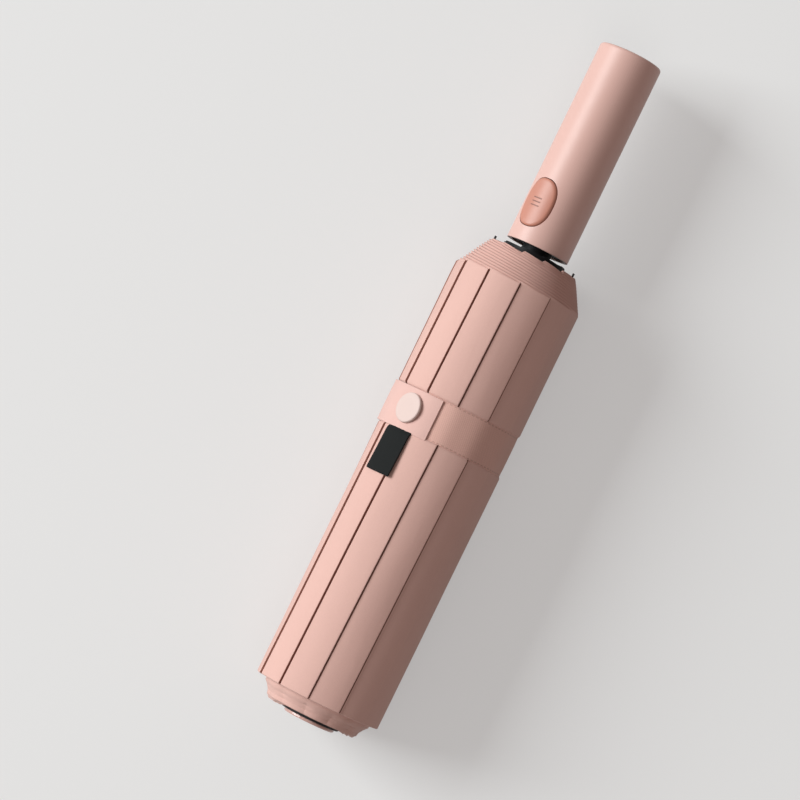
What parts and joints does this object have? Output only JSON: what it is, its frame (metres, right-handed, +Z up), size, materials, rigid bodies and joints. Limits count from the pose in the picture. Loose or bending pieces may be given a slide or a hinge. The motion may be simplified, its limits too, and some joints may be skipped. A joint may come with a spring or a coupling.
{
  "type": "automatic umbrella",
  "caption": "Compact automatic umbrella, folded and strapped: telescoping shaft, folding ribs, wound pleated canopy, strap with snap, and a round handle with a push button.",
  "frame": {"origin": "on the flat underside of the wound canopy, under the shaft, halfway along the folded length", "axes": "+Y along the shaft towards the handle, +Z up from the surface it lies on, +X to the right seen from above with the handle up"},
  "size_m": [0.0554, 0.31, 0.0538],
  "materials": {
    "handle_pink": "soft satin moulding",
    "button_coral": "soft satin moulding",
    "collar_black": "moulded black",
    "canopy_cloth": "fine matt weave",
    "strap_webbing": "ribbed weave",
    "tab_cloth": "fine matt weave with a plastic snap",
    "rib_paint": "satin paint",
    "strut_steel": "dark coat",
    "tube_steel": "polished",
    "crown_nylon": "moulded black",
    "runner_nylon": "moulded black",
    "cap_gloss": "gloss"
  },
  "bodies": {
    "shaft_top": {"inner_tube": "tube_steel", "crown_notch": "crown_nylon", "top_cap": "cap_gloss", "canopy": "canopy_cloth", "strap_band": "strap_webbing"},
    "shaft_middle": {"middle_tube": "tube_steel"},
    "handle": {"handle_shell": "handle_pink", "tip_collar": "collar_black", "outer_tube": "tube_steel"},
    "button": {"push_button": "button_coral"},
    "strap_tab": {"strap_tab": "tab_cloth"},
    "runner": {"runner": "runner_nylon"},
    "top_rib_01": {"top_rib_01": "rib_paint"},
    "middle_rib_01": {"middle_rib_01": "rib_paint"},
    "outer_rib_01": {"outer_rib_01": "rib_paint"},
    "strut_01": {"strut_01": "strut_steel"},
    "top_rib_02": {"top_rib_02": "rib_paint"},
    "middle_rib_02": {"middle_rib_02": "rib_paint"},
    "outer_rib_02": {"outer_rib_02": "rib_paint"},
    "strut_02": {"strut_02": "strut_steel"},
    "top_rib_03": {"top_rib_03": "rib_paint"},
    "middle_rib_03": {"middle_rib_03": "rib_paint"},
    "outer_rib_03": {"outer_rib_03": "rib_paint"},
    "strut_03": {"strut_03": "strut_steel"},
    "top_rib_04": {"top_rib_04": "rib_paint"},
    "middle_rib_04": {"middle_rib_04": "rib_paint"},
    "outer_rib_04": {"outer_rib_04": "rib_paint"},
    "strut_04": {"strut_04": "strut_steel"},
    "top_rib_05": {"top_rib_05": "rib_paint"},
    "middle_rib_05": {"middle_rib_05": "rib_paint"},
    "outer_rib_05": {"outer_rib_05": "rib_paint"},
    "strut_05": {"strut_05": "strut_steel"},
    "top_rib_06": {"top_rib_06": "rib_paint"},
    "middle_rib_06": {"middle_rib_06": "rib_paint"},
    "outer_rib_06": {"outer_rib_06": "rib_paint"},
    "strut_06": {"strut_06": "strut_steel"},
    "top_rib_07": {"top_rib_07": "rib_paint"},
    "middle_rib_07": {"middle_rib_07": "rib_paint"},
    "outer_rib_07": {"outer_rib_07": "rib_paint"},
    "strut_07": {"strut_07": "strut_steel"},
    "top_rib_08": {"top_rib_08": "rib_paint"},
    "middle_rib_08": {"middle_rib_08": "rib_paint"},
    "outer_rib_08": {"outer_rib_08": "rib_paint"},
    "strut_08": {"strut_08": "strut_steel"},
    "top_rib_09": {"top_rib_09": "rib_paint"},
    "middle_rib_09": {"middle_rib_09": "rib_paint"},
    "outer_rib_09": {"outer_rib_09": "rib_paint"},
    "strut_09": {"strut_09": "strut_steel"},
    "top_rib_10": {"top_rib_10": "rib_paint"},
    "middle_rib_10": {"middle_rib_10": "rib_paint"},
    "outer_rib_10": {"outer_rib_10": "rib_paint"},
    "strut_10": {"strut_10": "strut_steel"},
    "top_rib_11": {"top_rib_11": "rib_paint"},
    "middle_rib_11": {"middle_rib_11": "rib_paint"},
    "outer_rib_11": {"outer_rib_11": "rib_paint"},
    "strut_11": {"strut_11": "strut_steel"},
    "top_rib_12": {"top_rib_12": "rib_paint"},
    "middle_rib_12": {"middle_rib_12": "rib_paint"},
    "outer_rib_12": {"outer_rib_12": "rib_paint"},
    "strut_12": {"strut_12": "strut_steel"}
  },
  "joints": [
    {"name": "shaft_extend", "type": "slide", "parent": "shaft_top", "child": "shaft_middle", "axis": [0, 1, 0], "range_m": [0, 0.13]},
    {"name": "handle_extend", "type": "slide", "parent": "shaft_middle", "child": "handle", "axis": [0, 1, 0], "range_m": [0, 0.13]},
    {"name": "button_press", "type": "slide", "parent": "handle", "child": "button", "axis": [0.6293, 0, -0.7771], "range_m": [0, 0.002], "stiffness_N_per_m": 500, "springref_m": -0.001},
    {"name": "strap_tab_open", "type": "hinge", "parent": "shaft_top", "child": "strap_tab", "pos_m": [-0.02698, -0.01935, 0.02154], "axis": [0, -1, 0], "range_deg": [0, 110]},
    {"name": "runner_slide", "type": "slide", "parent": "shaft_top", "child": "runner", "axis": [0, -1, 0], "range_m": [0, 0.1506]},
    {"name": "canopy_open", "type": "hinge", "parent": "shaft_top", "child": "top_rib_01", "pos_m": [0, -0.14105, 0.0358], "axis": [1, 0, 0], "range_deg": [0, 78], "deforming": ["canopy", "strap_band", "strap_tab"]},
    {"name": "middle_rib_01_fold", "type": "hinge", "parent": "top_rib_01", "child": "middle_rib_01", "pos_m": [0, 0.02395, 0.03865], "axis": [1, 0, 0], "range_deg": [-190.1, 0]},
    {"name": "outer_rib_01_fold", "type": "hinge", "parent": "middle_rib_01", "child": "outer_rib_01", "pos_m": [0, -0.12905, 0.04055], "axis": [1, 0, 0], "range_deg": [0, 164.1]},
    {"name": "strut_01_swing", "type": "hinge", "parent": "top_rib_01", "child": "strut_01", "pos_m": [0, -0.04605, 0.0358], "axis": [1, 0, 0], "range_deg": [-156.1, 0]},
    {"name": "top_rib_02_swing", "type": "hinge", "parent": "shaft_top", "child": "top_rib_02", "pos_m": [0.00475, -0.14105, 0.03453], "axis": [0.866, 0, -0.5], "range_deg": [0, 78]},
    {"name": "middle_rib_02_fold", "type": "hinge", "parent": "top_rib_02", "child": "middle_rib_02", "pos_m": [0.00617, 0.02395, 0.037], "axis": [0.866, 0, -0.5], "range_deg": [-190.1, 0]},
    {"name": "outer_rib_02_fold", "type": "hinge", "parent": "middle_rib_02", "child": "outer_rib_02", "pos_m": [0.00713, -0.12905, 0.03864], "axis": [0.866, 0, -0.5], "range_deg": [0, 164.1]},
    {"name": "strut_02_swing", "type": "hinge", "parent": "top_rib_02", "child": "strut_02", "pos_m": [0.00475, -0.04605, 0.03453], "axis": [0.866, 0, -0.5], "range_deg": [-156.1, 0]},
    {"name": "top_rib_03_swing", "type": "hinge", "parent": "shaft_top", "child": "top_rib_03", "pos_m": [0.00823, -0.14105, 0.03105], "axis": [0.5, 0, -0.866], "range_deg": [0, 78]},
    {"name": "middle_rib_03_fold", "type": "hinge", "parent": "top_rib_03", "child": "middle_rib_03", "pos_m": [0.01069, 0.02395, 0.03247], "axis": [0.5, 0, -0.866], "range_deg": [-190.1, 0]},
    {"name": "outer_rib_03_fold", "type": "hinge", "parent": "middle_rib_03", "child": "outer_rib_03", "pos_m": [0.01234, -0.12905, 0.03343], "axis": [0.5, 0, -0.866], "range_deg": [0, 164.1]},
    {"name": "strut_03_swing", "type": "hinge", "parent": "top_rib_03", "child": "strut_03", "pos_m": [0.00823, -0.04605, 0.03105], "axis": [0.5, 0, -0.866], "range_deg": [-156.1, 0]},
    {"name": "top_rib_04_swing", "type": "hinge", "parent": "shaft_top", "child": "top_rib_04", "pos_m": [0.0095, -0.14105, 0.0263], "axis": [0, 0, -1], "range_deg": [0, 78]},
    {"name": "middle_rib_04_fold", "type": "hinge", "parent": "top_rib_04", "child": "middle_rib_04", "pos_m": [0.01235, 0.02395, 0.0263], "axis": [0, 0, -1], "range_deg": [-190.1, 0]},
    {"name": "outer_rib_04_fold", "type": "hinge", "parent": "middle_rib_04", "child": "outer_rib_04", "pos_m": [0.01425, -0.12905, 0.0263], "axis": [0, 0, -1], "range_deg": [0, 164.1]},
    {"name": "strut_04_swing", "type": "hinge", "parent": "top_rib_04", "child": "strut_04", "pos_m": [0.0095, -0.04605, 0.0263], "axis": [0, 0, -1], "range_deg": [-156.1, 0]},
    {"name": "top_rib_05_swing", "type": "hinge", "parent": "shaft_top", "child": "top_rib_05", "pos_m": [0.00823, -0.14105, 0.02155], "axis": [-0.5, 0, -0.866], "range_deg": [0, 78]},
    {"name": "middle_rib_05_fold", "type": "hinge", "parent": "top_rib_05", "child": "middle_rib_05", "pos_m": [0.01069, 0.02395, 0.02013], "axis": [-0.5, 0, -0.866], "range_deg": [-190.1, 0]},
    {"name": "outer_rib_05_fold", "type": "hinge", "parent": "middle_rib_05", "child": "outer_rib_05", "pos_m": [0.01234, -0.12905, 0.01918], "axis": [-0.5, 0, -0.866], "range_deg": [0, 164.1]},
    {"name": "strut_05_swing", "type": "hinge", "parent": "top_rib_05", "child": "strut_05", "pos_m": [0.00823, -0.04605, 0.02155], "axis": [-0.5, 0, -0.866], "range_deg": [-156.1, 0]},
    {"name": "top_rib_06_swing", "type": "hinge", "parent": "shaft_top", "child": "top_rib_06", "pos_m": [0.00475, -0.14105, 0.01807], "axis": [-0.866, 0, -0.5], "range_deg": [0, 78]},
    {"name": "middle_rib_06_fold", "type": "hinge", "parent": "top_rib_06", "child": "middle_rib_06", "pos_m": [0.00617, 0.02395, 0.01561], "axis": [-0.866, 0, -0.5], "range_deg": [-190.1, 0]},
    {"name": "outer_rib_06_fold", "type": "hinge", "parent": "middle_rib_06", "child": "outer_rib_06", "pos_m": [0.00713, -0.12905, 0.01396], "axis": [-0.866, 0, -0.5], "range_deg": [0, 164.1]},
    {"name": "strut_06_swing", "type": "hinge", "parent": "top_rib_06", "child": "strut_06", "pos_m": [0.00475, -0.04605, 0.01807], "axis": [-0.866, 0, -0.5], "range_deg": [-156.1, 0]},
    {"name": "top_rib_07_swing", "type": "hinge", "parent": "shaft_top", "child": "top_rib_07", "pos_m": [0, -0.14105, 0.0168], "axis": [-1, 0, 0], "range_deg": [0, 78]},
    {"name": "middle_rib_07_fold", "type": "hinge", "parent": "top_rib_07", "child": "middle_rib_07", "pos_m": [0, 0.02395, 0.01395], "axis": [-1, 0, 0], "range_deg": [-190.1, 0]},
    {"name": "outer_rib_07_fold", "type": "hinge", "parent": "middle_rib_07", "child": "outer_rib_07", "pos_m": [0, -0.12905, 0.01205], "axis": [-1, 0, 0], "range_deg": [0, 164.1]},
    {"name": "strut_07_swing", "type": "hinge", "parent": "top_rib_07", "child": "strut_07", "pos_m": [0, -0.04605, 0.0168], "axis": [-1, 0, 0], "range_deg": [-156.1, 0]},
    {"name": "top_rib_08_swing", "type": "hinge", "parent": "shaft_top", "child": "top_rib_08", "pos_m": [-0.00475, -0.14105, 0.01807], "axis": [-0.866, 0, 0.5], "range_deg": [0, 78]},
    {"name": "middle_rib_08_fold", "type": "hinge", "parent": "top_rib_08", "child": "middle_rib_08", "pos_m": [-0.00617, 0.02395, 0.01561], "axis": [-0.866, 0, 0.5], "range_deg": [-190.1, 0]},
    {"name": "outer_rib_08_fold", "type": "hinge", "parent": "middle_rib_08", "child": "outer_rib_08", "pos_m": [-0.00713, -0.12905, 0.01396], "axis": [-0.866, 0, 0.5], "range_deg": [0, 164.1]},
    {"name": "strut_08_swing", "type": "hinge", "parent": "top_rib_08", "child": "strut_08", "pos_m": [-0.00475, -0.04605, 0.01807], "axis": [-0.866, 0, 0.5], "range_deg": [-156.1, 0]},
    {"name": "top_rib_09_swing", "type": "hinge", "parent": "shaft_top", "child": "top_rib_09", "pos_m": [-0.00823, -0.14105, 0.02155], "axis": [-0.5, 0, 0.866], "range_deg": [0, 78]},
    {"name": "middle_rib_09_fold", "type": "hinge", "parent": "top_rib_09", "child": "middle_rib_09", "pos_m": [-0.01069, 0.02395, 0.02013], "axis": [-0.5, 0, 0.866], "range_deg": [-190.1, 0]},
    {"name": "outer_rib_09_fold", "type": "hinge", "parent": "middle_rib_09", "child": "outer_rib_09", "pos_m": [-0.01234, -0.12905, 0.01918], "axis": [-0.5, 0, 0.866], "range_deg": [0, 164.1]},
    {"name": "strut_09_swing", "type": "hinge", "parent": "top_rib_09", "child": "strut_09", "pos_m": [-0.00823, -0.04605, 0.02155], "axis": [-0.5, 0, 0.866], "range_deg": [-156.1, 0]},
    {"name": "top_rib_10_swing", "type": "hinge", "parent": "shaft_top", "child": "top_rib_10", "pos_m": [-0.0095, -0.14105, 0.0263], "axis": [0, 0, 1], "range_deg": [0, 78]},
    {"name": "middle_rib_10_fold", "type": "hinge", "parent": "top_rib_10", "child": "middle_rib_10", "pos_m": [-0.01235, 0.02395, 0.0263], "axis": [0, 0, 1], "range_deg": [-190.1, 0]},
    {"name": "outer_rib_10_fold", "type": "hinge", "parent": "middle_rib_10", "child": "outer_rib_10", "pos_m": [-0.01425, -0.12905, 0.0263], "axis": [0, 0, 1], "range_deg": [0, 164.1]},
    {"name": "strut_10_swing", "type": "hinge", "parent": "top_rib_10", "child": "strut_10", "pos_m": [-0.0095, -0.04605, 0.0263], "axis": [0, 0, 1], "range_deg": [-156.1, 0]},
    {"name": "top_rib_11_swing", "type": "hinge", "parent": "shaft_top", "child": "top_rib_11", "pos_m": [-0.00823, -0.14105, 0.03105], "axis": [0.5, 0, 0.866], "range_deg": [0, 78]},
    {"name": "middle_rib_11_fold", "type": "hinge", "parent": "top_rib_11", "child": "middle_rib_11", "pos_m": [-0.01069, 0.02395, 0.03247], "axis": [0.5, 0, 0.866], "range_deg": [-190.1, 0]},
    {"name": "outer_rib_11_fold", "type": "hinge", "parent": "middle_rib_11", "child": "outer_rib_11", "pos_m": [-0.01234, -0.12905, 0.03343], "axis": [0.5, 0, 0.866], "range_deg": [0, 164.1]},
    {"name": "strut_11_swing", "type": "hinge", "parent": "top_rib_11", "child": "strut_11", "pos_m": [-0.00823, -0.04605, 0.03105], "axis": [0.5, 0, 0.866], "range_deg": [-156.1, 0]},
    {"name": "top_rib_12_swing", "type": "hinge", "parent": "shaft_top", "child": "top_rib_12", "pos_m": [-0.00475, -0.14105, 0.03453], "axis": [0.866, 0, 0.5], "range_deg": [0, 78]},
    {"name": "middle_rib_12_fold", "type": "hinge", "parent": "top_rib_12", "child": "middle_rib_12", "pos_m": [-0.00617, 0.02395, 0.037], "axis": [0.866, 0, 0.5], "range_deg": [-190.1, 0]},
    {"name": "outer_rib_12_fold", "type": "hinge", "parent": "middle_rib_12", "child": "outer_rib_12", "pos_m": [-0.00713, -0.12905, 0.03864], "axis": [0.866, 0, 0.5], "range_deg": [0, 164.1]},
    {"name": "strut_12_swing", "type": "hinge", "parent": "top_rib_12", "child": "strut_12", "pos_m": [-0.00475, -0.04605, 0.03453], "axis": [0.866, 0, 0.5], "range_deg": [-156.1, 0]}
  ],
  "couplings": [
    {"joint": "handle_extend", "follows": "shaft_extend", "ratio": 1},
    {"joint": "middle_rib_01_fold", "follows": "canopy_open", "ratio": -2.4359},
    {"joint": "outer_rib_01_fold", "follows": "canopy_open", "ratio": 2.1026},
    {"joint": "strut_01_swing", "follows": "canopy_open", "ratio": -2},
    {"joint": "top_rib_02_swing", "follows": "canopy_open", "ratio": 1},
    {"joint": "middle_rib_02_fold", "follows": "canopy_open", "ratio": -2.4359},
    {"joint": "outer_rib_02_fold", "follows": "canopy_open", "ratio": 2.1026},
    {"joint": "strut_02_swing", "follows": "canopy_open", "ratio": -2},
    {"joint": "top_rib_03_swing", "follows": "canopy_open", "ratio": 1},
    {"joint": "middle_rib_03_fold", "follows": "canopy_open", "ratio": -2.4359},
    {"joint": "outer_rib_03_fold", "follows": "canopy_open", "ratio": 2.1026},
    {"joint": "strut_03_swing", "follows": "canopy_open", "ratio": -2},
    {"joint": "top_rib_04_swing", "follows": "canopy_open", "ratio": 1},
    {"joint": "middle_rib_04_fold", "follows": "canopy_open", "ratio": -2.4359},
    {"joint": "outer_rib_04_fold", "follows": "canopy_open", "ratio": 2.1026},
    {"joint": "strut_04_swing", "follows": "canopy_open", "ratio": -2},
    {"joint": "top_rib_05_swing", "follows": "canopy_open", "ratio": 1},
    {"joint": "middle_rib_05_fold", "follows": "canopy_open", "ratio": -2.4359},
    {"joint": "outer_rib_05_fold", "follows": "canopy_open", "ratio": 2.1026},
    {"joint": "strut_05_swing", "follows": "canopy_open", "ratio": -2},
    {"joint": "top_rib_06_swing", "follows": "canopy_open", "ratio": 1},
    {"joint": "middle_rib_06_fold", "follows": "canopy_open", "ratio": -2.4359},
    {"joint": "outer_rib_06_fold", "follows": "canopy_open", "ratio": 2.1026},
    {"joint": "strut_06_swing", "follows": "canopy_open", "ratio": -2},
    {"joint": "top_rib_07_swing", "follows": "canopy_open", "ratio": 1},
    {"joint": "middle_rib_07_fold", "follows": "canopy_open", "ratio": -2.4359},
    {"joint": "outer_rib_07_fold", "follows": "canopy_open", "ratio": 2.1026},
    {"joint": "strut_07_swing", "follows": "canopy_open", "ratio": -2},
    {"joint": "top_rib_08_swing", "follows": "canopy_open", "ratio": 1},
    {"joint": "middle_rib_08_fold", "follows": "canopy_open", "ratio": -2.4359},
    {"joint": "outer_rib_08_fold", "follows": "canopy_open", "ratio": 2.1026},
    {"joint": "strut_08_swing", "follows": "canopy_open", "ratio": -2},
    {"joint": "top_rib_09_swing", "follows": "canopy_open", "ratio": 1},
    {"joint": "middle_rib_09_fold", "follows": "canopy_open", "ratio": -2.4359},
    {"joint": "outer_rib_09_fold", "follows": "canopy_open", "ratio": 2.1026},
    {"joint": "strut_09_swing", "follows": "canopy_open", "ratio": -2},
    {"joint": "top_rib_10_swing", "follows": "canopy_open", "ratio": 1},
    {"joint": "middle_rib_10_fold", "follows": "canopy_open", "ratio": -2.4359},
    {"joint": "outer_rib_10_fold", "follows": "canopy_open", "ratio": 2.1026},
    {"joint": "strut_10_swing", "follows": "canopy_open", "ratio": -2},
    {"joint": "top_rib_11_swing", "follows": "canopy_open", "ratio": 1},
    {"joint": "middle_rib_11_fold", "follows": "canopy_open", "ratio": -2.4359},
    {"joint": "outer_rib_11_fold", "follows": "canopy_open", "ratio": 2.1026},
    {"joint": "strut_11_swing", "follows": "canopy_open", "ratio": -2},
    {"joint": "top_rib_12_swing", "follows": "canopy_open", "ratio": 1},
    {"joint": "middle_rib_12_fold", "follows": "canopy_open", "ratio": -2.4359},
    {"joint": "outer_rib_12_fold", "follows": "canopy_open", "ratio": 2.1026},
    {"joint": "strut_12_swing", "follows": "canopy_open", "ratio": -2},
    {"joint": "runner_slide", "follows": "canopy_open", "m_per_rad": 0.11055}
  ]
}
